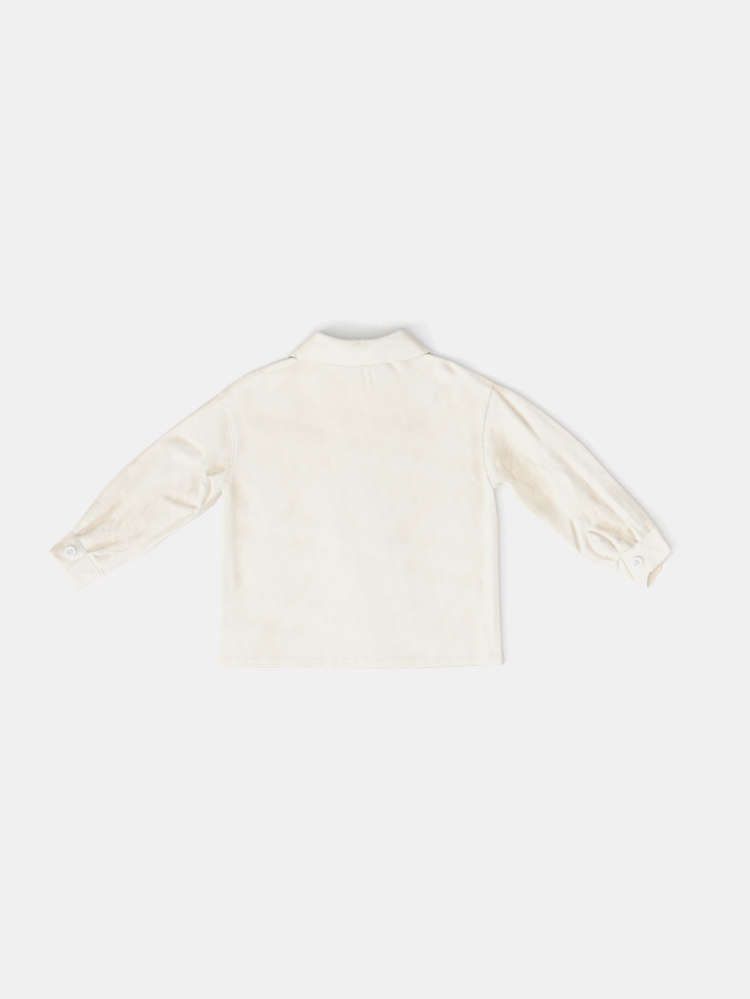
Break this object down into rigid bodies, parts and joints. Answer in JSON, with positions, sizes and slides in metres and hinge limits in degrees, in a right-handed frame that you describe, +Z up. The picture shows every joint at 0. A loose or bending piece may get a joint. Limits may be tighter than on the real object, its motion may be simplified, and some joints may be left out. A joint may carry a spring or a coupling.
{
  "type": "button-up shirt",
  "caption": "Small child's long-sleeved button-up shirt in slubby ivory cloth, laid flat on its front with a fallen collar and buttoned cuffs.",
  "frame": {"origin": "centre of the bounding box on the surface that the shirt lies on", "axes": "+Z up out of the back panel, +Y from the hem to the collar, +X towards the sleeve at the right of the picture, which is the wearer's right"},
  "size_m": [0.6972, 0.3784, 0.018],
  "materials": {
    "ivory_cloth": "matt slubby plain weave",
    "white_button": "polished"
  },
  "bodies": {
    "root": {"back_panel": "ivory_cloth", "left_front": "ivory_cloth", "right_front": "ivory_cloth", "left_sleeve": "ivory_cloth", "right_sleeve": "ivory_cloth", "left_cuff": "ivory_cloth", "right_cuff": "ivory_cloth", "collar": "ivory_cloth", "left_cuff_button": "white_button", "right_cuff_button": "white_button", "front_button_1": "white_button", "front_button_2": "white_button", "front_button_3": "white_button", "front_button_4": "white_button", "front_button_5": "white_button"}
  },
  "joints": []
}
